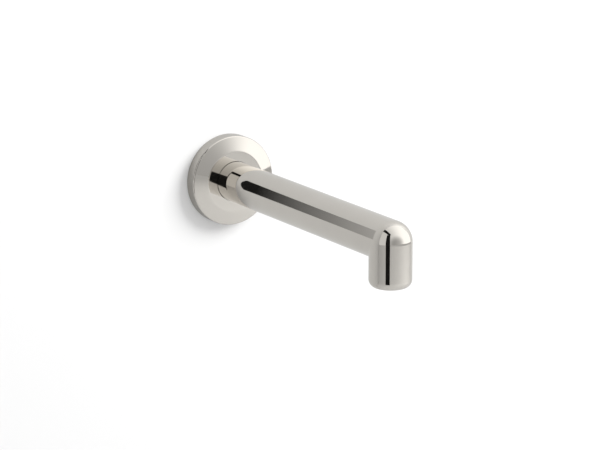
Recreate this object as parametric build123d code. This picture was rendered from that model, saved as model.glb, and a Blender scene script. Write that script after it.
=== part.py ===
from build123d import *
import os
from math import hypot, radians, sin, sqrt

# Wall mounted bath spout. Millimetres, +Z up. The wall is the plane y = 0, the tube's axis is the
# line x = z = 0, and the spout reaches out along -Y. "Depth" is the distance out from the wall,
# and "height" is measured along Z from the tube's axis.

# Spout tube and outlet elbow, brazed together and polished as one
tube_diameter = 31.0
tube_wall = 3.0
tube_length = 219.0           # wall to the brazed joint
reach = 235.0                 # wall to the centre of the outlet
outlet_drop = 33.0            # tube's axis down to the outlet's face
nose_rounding = 6.0           # round on the outlet's outer bottom edge
spigot_length = 5.0           # the elbow's spigot inside the tube's end
spigot_wall = 1.5

# Escutcheon, the wall flange
flange_diameter = 69.85
flange_rim_depth = 9.8
flange_rim_wall = 3.4
flange_rim_round = 1.3
flange_face_depth = 13.0
flange_face_diameter = 47.0   # the flat middle of the face
flange_face_blend = 4.0
flange_wall = 2.2
flange_tube_gap = 0.25
hub_diameter = 38.8
hub_back_depth = 7.0
hub_seal_section = 2.2
gasket_width = 1.9
gasket_thickness = 1.8

# Supply connection, which slips over a copper pipe of 15.875 mm outside diameter
supply_bore = 16.0
bushing_length = 46.0
pipe_seal_depths = {"rear": 24.0, "front": 33.0}
pipe_seal_section = 2.0
bushing_seal_section = 1.5
bushing_seal_depth = 42.0
set_screw_depth = 9.5
set_screw_diameter = 5.0
set_screw_length = 3.8
set_screw_pitch = 0.8
hex_key = 2.5
hex_socket_depth = 2.2

# Outlet insert
insert_thread = 18.0
insert_pitch = 1.0
insert_length = 11.0
insert_recess = 0.6           # how far the insert sits up inside the nose
insert_wall = 1.05
insert_lip = 0.8
key_notches = 6
core_thickness = 4.5
cell_size = 1.5               # across flats of one honeycomb cell
cell_rib = 0.3
screen_thickness = 0.3
screen_hole = 0.8
screen_pitch = 1.15
spacer_height = 1.4
strainer_plate = 0.4
strainer_dome_radius = 8.2
strainer_dome_edge = 6.2
strainer_hole = 1.1
strainer_pitch = 1.6
washer_thickness = 1.6
washer_width = 2.3
seat_radius = 6.8             # waterway through the washer's seat
running_gap = 0.05            # radial gap of parts that turn or slide in each other

# Stations worked out from the driving sizes
tube_radius = tube_diameter / 2
bore_radius = tube_radius - tube_wall
spigot_radius = bore_radius + spigot_wall
spigot_depth = tube_length - spigot_length
flange_radius = flange_diameter / 2
gasket_outer = flange_radius - flange_rim_wall + gasket_width
hub_bore = tube_radius + flange_tube_gap
hub_seal_depth = hub_back_depth + hub_seal_section
hub_groove_radius = tube_radius + running_gap + hub_seal_section
pipe_groove_radius = supply_bore / 2 + pipe_seal_section
insert_radius = insert_thread / 2 - running_gap
insert_bore = insert_radius - insert_wall
core_radius = insert_bore - running_gap
insert_foot = insert_recess - outlet_drop
insert_top = insert_foot + insert_length
core_foot = insert_foot + insert_lip
lower_screen_foot = core_foot + core_thickness
spacer_foot = lower_screen_foot + screen_thickness
upper_screen_foot = spacer_foot + spacer_height
strainer_foot = upper_screen_foot + screen_thickness
seat_height = insert_top + washer_thickness
taper_foot = seat_height + 2.2
taper_top = taper_foot + bore_radius - seat_radius
outlet_plane = Plane(origin=(0, -reach, 0), x_dir=(1, 0, 0), z_dir=(0, -1, 0))
outlet_axis = Axis((0, -reach, 0), (0, 0, 1))


def turned_on_tube(outline, rounds=0):
    """A piece turned about the tube's axis, from the (depth, radius) corners of its section."""
    corners = [(radius, -depth) for depth, radius in outline]
    edge = FilletPolyline(*corners, radius=rounds, close=True)
    return revolve(make_face(edge), Axis.Y)


def turned_on_outlet(outline):
    """A piece turned about the outlet's vertical axis, from (radius, height) corners."""
    edge = outlet_plane * Polyline(*outline, close=True)
    return revolve(make_face(edge), outlet_axis)


def tube_ring(inner, outer, start, end):
    return turned_on_tube([(start, inner), (start, outer), (end, outer), (end, inner)])


def outlet_ring(inner, outer, foot, top):
    return turned_on_outlet([(inner, foot), (outer, foot), (outer, top), (inner, top)])


def oring(depth, inner_radius, section):
    """An O-ring around the tube's axis."""
    profile = Pos(inner_radius + section / 2, -depth) * Circle(section / 2)
    return revolve(profile, Axis.Y)


def rod(radius, length):
    return extrude(Circle(radius), length)


def elbowed_rod(radius, start, drop):
    """A round rod out from a depth that turns down at the outlet over a ball-shaped corner."""
    run = Pos(0, -start, 0) * (Plane.XZ * rod(radius, reach - start))
    corner = Pos(0, -reach, 0) * Sphere(radius)
    fall = Pos(0, -reach, -drop) * rod(radius, drop)
    return run + fall + corner


def thread_ridges(start, end, major, depth, pitch):
    """The (position, radius) corners of a run of thread ridges along a shaft's side."""
    corners = []
    for turn in range(int((end - start) / pitch)):
        at = start + turn * pitch
        crest_end = at + 0.3 * pitch
        root_start = at + 0.6 * pitch
        root_end = at + 0.7 * pitch
        corners += [(at, major), (crest_end, major)]
        corners += [(root_start, major - depth), (root_end, major - depth)]
    return corners + [(at + pitch, major)]


def hex_grid(limit, pitch):
    """The centres of a hexagonal grid that lie within a circle."""
    row_pitch = pitch * sin(radians(60))
    rows = int(limit / row_pitch) + 1
    centres = []
    for row in range(-rows, rows + 1):
        for column in range(-rows, rows + 1):
            x = (column + 0.5 * (row % 2)) * pitch
            y = row * row_pitch
            if hypot(x, y) <= limit:
                centres.append((x, y))
    return centres


def below_axis(inner, outer, radius):
    """A vertical pin under the tube's axis at the set screw, between two distances from it."""
    return Pos(0, -set_screw_depth, -outer) * rod(radius, outer - inner)


def spout_tube():
    tube = turned_on_tube([(0, bore_radius), (0, tube_radius), (tube_length, tube_radius),
                           (tube_length, spigot_radius), (spigot_depth, spigot_radius),
                           (spigot_depth, bore_radius)])
    return tube - below_axis(bore_radius - 1, tube_radius + 1, set_screw_diameter / 2 + 0.3)


def outlet_elbow():
    outside = elbowed_rod(tube_radius, tube_length, outlet_drop)
    outside = fillet(outside.edges().group_by(Axis.Z)[0], nose_rounding)
    spigot = tube_ring(bore_radius - 1, spigot_radius, spigot_depth, tube_length)
    waterway = elbowed_rod(bore_radius, spigot_depth, -taper_top)
    taper = turned_on_outlet([(0, seat_height), (seat_radius, seat_height),
                              (seat_radius, taper_foot), (bore_radius, taper_top), (0, taper_top)])
    insert_hole = Pos(0, -reach, -outlet_drop) * rod(insert_thread / 2, seat_height + outlet_drop)
    return outside + spigot - waterway - taper - insert_hole


def inlet_bushing():
    bush = tube_ring(supply_bore / 2, bore_radius, 0, bushing_length)
    groove_half = bushing_seal_section / 2 + 0.4
    bush -= tube_ring(bore_radius - bushing_seal_section, bore_radius + 1,
                      bushing_seal_depth - groove_half, bushing_seal_depth + groove_half)
    for depth in pipe_seal_depths.values():
        groove_half = pipe_seal_section / 2 + 0.3
        bush -= tube_ring(supply_bore / 2 - 1, pipe_groove_radius,
                          depth - groove_half, depth + groove_half)
    return bush - below_axis(0, bore_radius + 1, set_screw_diameter / 2)


def set_screw():
    """Hex socket set screw under the supply pipe, its tip just clear of the bore."""
    radius = set_screw_diameter / 2 - running_gap
    thread_depth = 0.35
    ridges = thread_ridges(0.3, set_screw_length, radius, thread_depth, set_screw_pitch)
    outline = [(0, 0), (radius - thread_depth, 0)]
    outline += [(ridge_radius, position) for position, ridge_radius in ridges]
    outline += [(radius - thread_depth, set_screw_length), (0, set_screw_length)]
    shank = revolve(Plane.XZ * make_face(Polyline(*outline, close=True)), Axis.Z)
    socket = extrude(RegularPolygon(hex_key / 2, 6, major_radius=False), hex_socket_depth)
    tip_clearance = 0.1
    head_height = -supply_bore / 2 - tip_clearance - set_screw_length
    return Pos(0, -set_screw_depth, head_height) * (shank - socket)


def escutcheon():
    face_radius = flange_face_diameter / 2
    rim_inner = flange_radius - flange_rim_wall
    slope = (flange_face_depth - flange_rim_depth) / (flange_radius - face_radius)
    back_of_face = flange_face_depth - flange_wall
    back_of_rim = back_of_face - slope * (rim_inner - face_radius)
    section = [((0, gasket_outer), 0), ((0, flange_radius), 0),
               ((flange_rim_depth, flange_radius), flange_rim_round),
               ((flange_face_depth, face_radius), flange_face_blend),
               ((flange_face_depth, hub_bore), 0), ((hub_back_depth, hub_bore), 0),
               ((hub_back_depth, hub_diameter / 2), 0.5), ((back_of_face, hub_diameter / 2), 1.0),
               ((back_of_face, face_radius), 0), ((back_of_rim, rim_inner), 1.0),
               ((gasket_thickness, rim_inner), 0), ((gasket_thickness, gasket_outer), 0)]
    shell = turned_on_tube([corner for corner, _ in section], [rounding for _, rounding in section])
    groove_half = hub_seal_section / 2 + 0.1
    return shell - tube_ring(hub_bore - 1, hub_groove_radius,
                             hub_seal_depth - groove_half, hub_seal_depth + groove_half)


def wall_gasket():
    return tube_ring(gasket_outer - gasket_width, gasket_outer, 0, gasket_thickness)


def straightener_housing():
    """Threaded sleeve with an inward lip at its foot and notches for a flat plastic key."""
    plain_foot = 2.4
    thread_depth = 0.5
    ridges = thread_ridges(insert_foot + plain_foot, insert_top, insert_radius, thread_depth, insert_pitch)
    lip_bore = insert_bore - 0.7
    outline = [(lip_bore, insert_foot), (insert_radius, insert_foot)]
    outline += [(radius, height) for height, radius in ridges]
    outline += [(insert_radius - thread_depth, insert_top), (insert_bore, insert_top)]
    outline += [(insert_bore, core_foot), (lip_bore, core_foot)]
    sleeve = turned_on_outlet(outline)
    notch = Pos(insert_bore + insert_wall / 2, 0, 0) * Box(2 * insert_wall + 1, 1.7, 2 * 0.7)
    for index in range(key_notches):
        turn = Rot(0, 0, index * 360 / key_notches)
        sleeve -= Pos(0, -reach, insert_foot) * turn * notch
    return sleeve


def perforated_disc(foot, thickness, openings):
    """A disc that fills the insert's bore, with the openings of a sketch cut through it."""
    disc = rod(core_radius, thickness) - extrude(openings, thickness)
    return Pos(0, -reach, foot) * disc


def straightener_core():
    cell = Rot(0, 0, 30) * RegularPolygon(cell_size / 2, 6, major_radius=False)
    centres = hex_grid(core_radius - cell_size / 2 - cell_rib, cell_size + cell_rib)
    cells = Sketch() + [Pos(x, y) * cell for x, y in centres]
    return perforated_disc(core_foot, core_thickness, cells)


def fine_screen(foot):
    centres = hex_grid(core_radius - screen_pitch, screen_pitch)
    holes = Sketch() + [Pos(x, y) * Circle(screen_hole / 2) for x, y in centres]
    return perforated_disc(foot, screen_thickness, holes)


def screen_spacer():
    return outlet_ring(core_radius - 1, core_radius, spacer_foot, upper_screen_foot)


def inlet_strainer():
    """Flanged dome of thin perforated plate, standing on the upper screen."""
    centre = strainer_foot - sqrt(strainer_dome_radius ** 2 - strainer_dome_edge ** 2)
    inside = Pos(0, -reach, centre) * Sphere(strainer_dome_radius - strainer_plate)
    ball = Pos(0, -reach, centre) * Sphere(strainer_dome_radius)
    dome = (ball - inside) & (Pos(0, -reach, strainer_foot) * rod(core_radius, strainer_dome_radius))
    flange = outlet_ring(strainer_dome_edge - 0.5, core_radius, strainer_foot, strainer_foot + strainer_plate)
    centres = hex_grid(strainer_dome_edge - strainer_hole, strainer_pitch)
    holes = Sketch() + [Pos(x, y) * Circle(strainer_hole / 2) for x, y in centres]
    drills = Pos(0, -reach, strainer_foot) * extrude(holes, strainer_dome_radius)
    return dome + (flange - inside) - drills


def outlet_washer():
    outer = insert_radius - running_gap
    return outlet_ring(outer - washer_width, outer, insert_top, seat_height)


pieces = {
    "spout_tube": spout_tube(),
    "outlet_elbow": outlet_elbow(),
    "inlet_bushing": inlet_bushing(),
    "bushing_oring": oring(bushing_seal_depth, bore_radius - bushing_seal_section, bushing_seal_section),
    "set_screw": set_screw(),
    "escutcheon": escutcheon(),
    "escutcheon_oring": oring(hub_seal_depth, tube_radius + running_gap, hub_seal_section),
    "wall_gasket": wall_gasket(),
    "outlet_washer": outlet_washer(),
    "straightener_housing": straightener_housing(),
    "straightener_core": straightener_core(),
    "lower_screen": fine_screen(lower_screen_foot),
    "upper_screen": fine_screen(upper_screen_foot),
    "screen_spacer": screen_spacer(),
    "inlet_strainer": inlet_strainer(),
}
for position, seal_depth in pipe_seal_depths.items():
    pieces[f"{position}_pipe_oring"] = oring(seal_depth, supply_bore / 2, pipe_seal_section)

os.makedirs("parts", exist_ok=True)
for name, piece in pieces.items():
    piece.label = name
    export_step(piece, f"parts/{name}.step")
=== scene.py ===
from math import cos, radians, sin

import bmesh
import bpy
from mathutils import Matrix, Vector

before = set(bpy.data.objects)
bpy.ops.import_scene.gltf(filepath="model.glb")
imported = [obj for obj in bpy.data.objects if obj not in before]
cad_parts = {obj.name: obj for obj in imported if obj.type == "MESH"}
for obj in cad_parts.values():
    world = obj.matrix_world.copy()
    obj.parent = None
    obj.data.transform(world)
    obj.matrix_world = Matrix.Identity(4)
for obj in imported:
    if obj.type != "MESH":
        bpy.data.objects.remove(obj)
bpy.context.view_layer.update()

scene = bpy.context.scene
scene.view_settings.view_transform = "Standard"
scene.view_settings.look = "None"

# The wall is the plane y = 0, and the spout reaches out along -Y.


# ---------------------------------------------------------------- node helpers

class Graph:
    """A short way to write a material's node graph."""

    def __init__(self, name):
        self.material = bpy.data.materials.new(name)
        self.material.use_nodes = True
        self.tree = self.material.node_tree
        self.tree.nodes.clear()
        self.output = self.tree.nodes.new("ShaderNodeOutputMaterial")

    def node(self, kind, settings=None, **inputs):
        node = self.tree.nodes.new("ShaderNode" + kind)
        for key, value in (settings or {}).items():
            setattr(node, key, value)
        for key, value in inputs.items():
            socket = node.inputs[int(key[1:]) if key[1:].isdigit() else key.replace("_", " ")]
            self.feed(socket, value)
        return node

    def feed(self, socket, value):
        if isinstance(value, bpy.types.Node):
            value = value.outputs[0]
        if isinstance(value, bpy.types.NodeSocket):
            self.tree.links.new(value, socket)
        else:
            socket.default_value = value

    def math(self, operation, *values):
        inputs = {f"i{index}": value for index, value in enumerate(values)}
        return self.node("Math", {"operation": operation}, **inputs)

    def position(self):
        return self.node("NewGeometry").outputs["Position"]

    def place(self):
        return self.node("TexCoord").outputs["Object"]

    def parts(self, vector):
        return self.node("SeparateXYZ", Vector=vector).outputs

    def noise(self, scale, vector=None, detail=4.0, roughness=0.5, stretch=None):
        vector = vector or self.place()
        if stretch:
            vector = self.node("VectorMath", {"operation": "MULTIPLY"}, i0=vector, i1=stretch)
        return self.node("TexNoise", Vector=vector, Scale=scale, Detail=detail, Roughness=roughness)

    def span(self, value, low, high, to_low, to_high, smooth=False):
        """Maps a value's span onto another span, and holds it at both ends."""
        kind = "SMOOTHSTEP" if smooth else "LINEAR"
        node = self.node("MapRange", {"interpolation_type": kind}, Value=value)
        ends = {"From Min": low, "From Max": high, "To Min": to_low, "To Max": to_high}
        for name, number in ends.items():
            node.inputs[name].default_value = number
        return node.outputs["Result"]

    def mix(self, factor, first, second):
        node = self.node("Mix", {"data_type": "RGBA"})
        self.feed(node.inputs["Factor"], factor)
        colours = [socket for socket in node.inputs if socket.type == "RGBA"]
        for socket, value in zip(colours, (first, second)):
            self.feed(socket, value)
        return [socket for socket in node.outputs if socket.type == "RGBA"][0]

    def bump(self, height, strength, distance):
        return self.node("Bump", Height=height, Strength=strength, Distance=distance)

    def finish(self, shader):
        self.tree.links.new(shader.outputs[0], self.output.inputs["Surface"])
        return self.material


# ---------------------------------------------------------------- metals

def polished_nickel():
    """Mirror-polished warm nickel with faint polishing lines and a slight haze."""
    graph = Graph("polished_nickel")
    place = graph.place()
    cloud = graph.noise(38.0, place, detail=3.0)
    fine = graph.noise(900.0, place, detail=2.0, stretch=(1.0, 0.12, 1.0))
    rough = graph.math("ADD", graph.span(cloud.outputs[0], 0.35, 0.7, 0.028, 0.05),
                       graph.span(fine.outputs[0], 0.3, 0.7, 0.0, 0.012))
    tone = graph.mix(graph.span(cloud.outputs[0], 0.3, 0.75, 0.0, 1.0), (0.73, 0.70, 0.65, 1),
                     (0.71, 0.68, 0.63, 1))
    normal = graph.bump(fine.outputs[0], 0.05, 0.00002)
    shader = graph.node("BsdfPrincipled", Base_Color=tone, Metallic=1.0, Roughness=rough, Normal=normal)
    return graph.finish(shader)


def set_material(node, material):
    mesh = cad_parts[node].data
    mesh.materials.clear()
    mesh.materials.append(material)


def machined_brass():
    """Turned brass with fine tool rings about the tube's axis and a thin tarnish."""
    graph = Graph("machined_brass")
    place = graph.place()
    rings = graph.node("TexWave", {"wave_type": "BANDS", "bands_direction": "Y"}, Vector=place,
                       Scale=620.0, Distortion=0.6, Detail=1.0)
    tarnish = graph.noise(60.0, place, detail=5.0)
    tone = graph.mix(graph.span(tarnish.outputs[0], 0.4, 0.7, 0.0, 1.0), (0.78, 0.57, 0.27, 1),
                     (0.55, 0.36, 0.15, 1))
    rough = graph.span(tarnish.outputs[0], 0.3, 0.7, 0.22, 0.42)
    normal = graph.bump(rings.outputs[1], 0.25, 0.00003)
    shader = graph.node("BsdfPrincipled", Base_Color=tone, Metallic=1.0, Roughness=rough, Normal=normal)
    return graph.finish(shader)


def stainless_steel():
    """Satin stainless steel with short rolling lines."""
    graph = Graph("stainless_steel")
    place = graph.place()
    lines = graph.noise(1500.0, place, detail=3.0, stretch=(1.0, 0.08, 1.0))
    rough = graph.span(lines.outputs[0], 0.3, 0.7, 0.24, 0.38)
    tone = graph.mix(lines.outputs[0], (0.56, 0.56, 0.57, 1), (0.70, 0.70, 0.71, 1))
    normal = graph.bump(lines.outputs[0], 0.2, 0.00002)
    shader = graph.node("BsdfPrincipled", Base_Color=tone, Metallic=1.0, Roughness=rough, Normal=normal)
    return graph.finish(shader)


# ---------------------------------------------------------------- rubber and plastic

def black_rubber():
    """Moulded seal rubber with a dusty bloom."""
    graph = Graph("black_rubber")
    place = graph.place()
    bloom = graph.noise(220.0, place, detail=6.0, roughness=0.6)
    grain = graph.noise(2600.0, place, detail=2.0)
    tone = graph.mix(graph.span(bloom.outputs[0], 0.45, 0.7, 0.0, 1.0), (0.016, 0.016, 0.017, 1),
                     (0.045, 0.045, 0.047, 1))
    rough = graph.span(bloom.outputs[0], 0.3, 0.7, 0.48, 0.72)
    normal = graph.bump(grain.outputs[0], 0.3, 0.00005)
    shader = graph.node("BsdfPrincipled", Base_Color=tone, Roughness=rough, Normal=normal)
    return graph.finish(shader)


def foam_gasket():
    """Closed-cell foam with open cells along its cut faces."""
    graph = Graph("foam_gasket")
    place = graph.place()
    cells = graph.node("TexVoronoi", {"feature": "F1"}, Vector=place, Scale=1900.0, Randomness=1.0)
    pores = graph.span(cells.outputs[0], 0.1, 0.55, 0.0, 1.0)
    tone = graph.mix(pores, (0.03, 0.03, 0.033, 1), (0.095, 0.095, 0.10, 1))
    rough = graph.span(cells.outputs[0], 0.0, 0.6, 0.95, 0.8)
    normal = graph.bump(pores, 0.6, 0.00015)
    shader = graph.node("BsdfPrincipled", Base_Color=tone, Roughness=rough, Normal=normal)
    return graph.finish(shader)


def moulded_plastic(name, dark, light, rough_low, rough_high):
    """Injection-moulded plastic with a fine spark texture and faint flow marks."""
    graph = Graph(name)
    place = graph.place()
    flow = graph.noise(140.0, place, detail=4.0, stretch=(1.0, 1.0, 0.35))
    grain = graph.noise(3200.0, place, detail=2.0)
    tone = graph.mix(graph.span(flow.outputs[0], 0.35, 0.7, 0.0, 1.0), dark, light)
    rough = graph.span(grain.outputs[0], 0.3, 0.7, rough_low, rough_high)
    normal = graph.bump(grain.outputs[0], 0.25, 0.00004)
    shader = graph.node("BsdfPrincipled", Base_Color=tone, Roughness=rough, Normal=normal)
    return graph.finish(shader)


nickel = polished_nickel()
steel = stainless_steel()
rubber = black_rubber()
white_plastic = moulded_plastic("white_plastic", (0.78, 0.78, 0.77, 1), (0.86, 0.86, 0.85, 1),
                                0.34, 0.46)
grey_plastic = moulded_plastic("grey_plastic", (0.14, 0.145, 0.15, 1), (0.19, 0.195, 0.20, 1),
                               0.36, 0.5)

for node in ("spout_tube", "outlet_elbow", "escutcheon"):
    set_material(node, nickel)
set_material("inlet_bushing", machined_brass())
for node in ("bushing_oring", "front_pipe_oring", "rear_pipe_oring", "escutcheon_oring",
             "outlet_washer"):
    set_material(node, rubber)
set_material("wall_gasket", foam_gasket())
for node in ("set_screw", "lower_screen", "upper_screen", "inlet_strainer"):
    set_material(node, steel)
set_material("straightener_housing", grey_plastic)
for node in ("straightener_core", "screen_spacer"):
    set_material(node, white_plastic)


# ---------------------------------------------------------------- stage

wall_gap = 0.0002         # the painted wall stands this far behind the wall plane
floor_level = -0.45
set_half_width = 3.0
floor_half_depth = 2.5
wall_half_height = 1.05
pipe_hole_radius = 0.030
shade_sheet_gap = 0.0005         # the wall's sheet of painted shade hangs this far in front of it
shade_start, shade_end = 0.048, 0.3
shade_low_edge, shade_high_edge = 178, 132      # degrees in the wall's plane, +X towards +Z
shade_dense, shade_clear = 0.06, 0.24         # the painted shade thins out between these distances


def panel(name, corners, material):
    """A flat stage piece; it faces the side from which its corners run anticlockwise."""
    mesh = bpy.data.meshes.new(name)
    mesh.from_pydata([tuple(corner) for corner in corners], [], [(0, 1, 2, 3)])
    mesh.materials.append(material)
    piece = bpy.data.objects.new(name, mesh)
    scene.collection.objects.link(piece)
    return piece


def quad(name, centre, right, up, material):
    """A rectangular stage piece that faces along right x up."""
    centre, right, up = Vector(centre), Vector(right), Vector(up)
    corners = (centre - right - up, centre + right - up, centre + right + up, centre - right + up)
    return panel(name, corners, material)


def hide_from(piece, *rays):
    """Keeps a stage piece out of these kinds of ray."""
    for ray in rays:
        setattr(piece, "visible_" + ray, False)


def matt_paint(name, level):
    """Matt paint that isn't seen from behind, nor in the wall's pipe hole under the flange."""
    graph = Graph(name)
    matt = graph.node("BsdfDiffuse", Color=(level, level, level, 1))
    distance = graph.node("VectorMath", {"operation": "LENGTH"}, i0=graph.position()).outputs["Value"]
    hole = graph.span(distance, pipe_hole_radius, pipe_hole_radius + 0.001, 1.0, 0.0)
    clear = graph.math("MAXIMUM", hole, graph.node("NewGeometry").outputs["Backfacing"])
    return graph.finish(graph.node("MixShader", Fac=clear, i1=matt, i2=graph.node("BsdfTransparent")))


wall_size = {"centre": (0, wall_gap, floor_level + wall_half_height), "right": (set_half_width, 0, 0),
             "up": (0, 0, wall_half_height)}
floor_size = {"centre": (0, -floor_half_depth, floor_level), "right": (set_half_width, 0, 0),
              "up": (0, floor_half_depth + wall_gap, 0)}

# The camera sees a white wall and floor; the metal sees the same ones in grey
white, grey = matt_paint("stage_white", 0.8), matt_paint("stage_grey", 0.5)
for name, size in (("stage_wall", wall_size), ("stage_floor", floor_size)):
    seen = quad(name, material=white, **size)
    hide_from(seen, "glossy", "diffuse", "shadow")
    mirrored = quad(name + "_in_metal", material=grey, **size)
    hide_from(mirrored, "camera", "shadow")

# Black flags give the polished metal its dark lines: one upright, one overhead, and on the wall a black
# sheet of painted shade
black = matt_paint("stage_black", 0.01)
flags = [quad("stage_flag_upright", (-0.6, -0.8, 0.1), (-0.12, 0.11, 0), (0, 0, 0.75), black),
         quad("stage_flag_overhead", (-0.75, -0.6, 1.3), (0.14, 0, 0.08), (0, -0.7, 0), black)]


def painted_wall_shade():
    """Painted shade on the wall, seen only in the metal: black that thins out away from the spout."""
    graph = Graph("stage_painted_wall_shade")
    distance = graph.node("VectorMath", {"operation": "LENGTH"}, i0=graph.position()).outputs["Value"]
    shader = graph.node("MixShader", Fac=graph.span(distance, shade_dense, shade_clear, 0.0, 1.0),
                        i1=graph.node("BsdfDiffuse", Color=(0.01, 0.01, 0.01, 1)),
                        i2=graph.node("BsdfTransparent"))
    behind = graph.node("NewGeometry").outputs["Backfacing"]
    return graph.finish(graph.node("MixShader", Fac=behind, i1=shader, i2=graph.node("BsdfTransparent")))


def on_wall(angle, reach):
    """A place just in front of the wall, by its direction and distance from the tube's axis."""
    return reach * cos(radians(angle)), -shade_sheet_gap, reach * sin(radians(angle))


# Painted shade: the tube reflects this black sheet as a dark band that fades away from the flange
wall_shade_sheet = (on_wall(shade_low_edge, shade_start), on_wall(shade_high_edge, shade_start),
             on_wall(shade_high_edge, shade_end), on_wall(shade_low_edge, shade_end))
flags.append(panel("stage_painted_wall_shade_sheet", wall_shade_sheet, painted_wall_shade()))
for flag in flags:
    hide_from(flag, "camera", "diffuse", "shadow")


def room_light(graph):
    """Soft light all round: brighter to the right, dimmer at the room's front end."""
    direction = graph.node("VectorMath", {"operation": "NORMALIZE"}, i0=graph.position())
    x, y, _ = graph.parts(direction)
    side = graph.span(x, -0.6, 0.8, 0.75, 1.45, smooth=True)
    front = graph.span(y, -1.0, -0.7, 0.45, 1.0, smooth=True)
    return graph.math("MULTIPLY", side, front)


def dome(name, radius, build):
    """A large glowing sphere around the whole set, seen only in reflections."""
    graph = Graph(name + "_light")
    graph.finish(graph.node("Emission", Color=(1, 1, 1, 1), Strength=build(graph)))
    graph.material.cycles.emission_sampling = "NONE"
    shape = bmesh.new()
    bmesh.ops.create_uvsphere(shape, u_segments=96, v_segments=48, radius=radius)
    mesh = bpy.data.meshes.new(name)
    shape.to_mesh(mesh)
    shape.free()
    mesh.materials.append(graph.material)
    piece = bpy.data.objects.new(name, mesh)
    scene.collection.objects.link(piece)
    hide_from(piece, "camera", "diffuse", "shadow")


dome("stage_room", 8.0, room_light)

world = bpy.data.worlds.new("studio_world")
scene.world = world
world.use_nodes = True
background = world.node_tree.nodes["Background"]
background.inputs["Color"].default_value = (1, 1, 1, 1)
background.inputs["Strength"].default_value = 1.0


def soft_light(name, place, target, size, power):
    data = bpy.data.lights.new(name, "AREA")
    data.size = size
    data.energy = power
    lamp = bpy.data.objects.new(name, data)
    lamp.location = place
    aim = Vector(target) - Vector(place)
    lamp.rotation_euler = aim.to_track_quat("-Z", "Y").to_euler()
    lamp.visible_glossy = False
    lamp.visible_camera = False
    scene.collection.objects.link(lamp)
    return lamp


# Only the flange, which sits on the wall, puts a shadow on it
key = soft_light("key_light", (1.3, -1.1, 1.1), (0, 0, 0), 1.2, 42)
shade_makers = bpy.data.collections.new("shade_makers")
for node in ("escutcheon", "wall_gasket"):
    shade_makers.objects.link(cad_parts[node])
key.light_linking.blocker_collection = shade_makers


# ---------------------------------------------------------------- camera

view_turn, view_rise = radians(30.69), radians(13.71)
towards = Vector((-sin(view_turn) * cos(view_rise), -cos(view_turn) * cos(view_rise), sin(view_rise)))
aim_point = Vector((0, -0.1105, -0.0142))
camera_distance = 2.032
lens = 164.7
camera_data = bpy.data.cameras.new("camera")
camera_data.lens = lens
camera_data.sensor_width = 36.0
camera_data.clip_start = 0.05
camera = bpy.data.objects.new("camera", camera_data)
camera.location = aim_point + towards * camera_distance
camera.rotation_euler = (-towards).to_track_quat("-Z", "Y").to_euler()
scene.collection.objects.link(camera)
scene.camera = camera
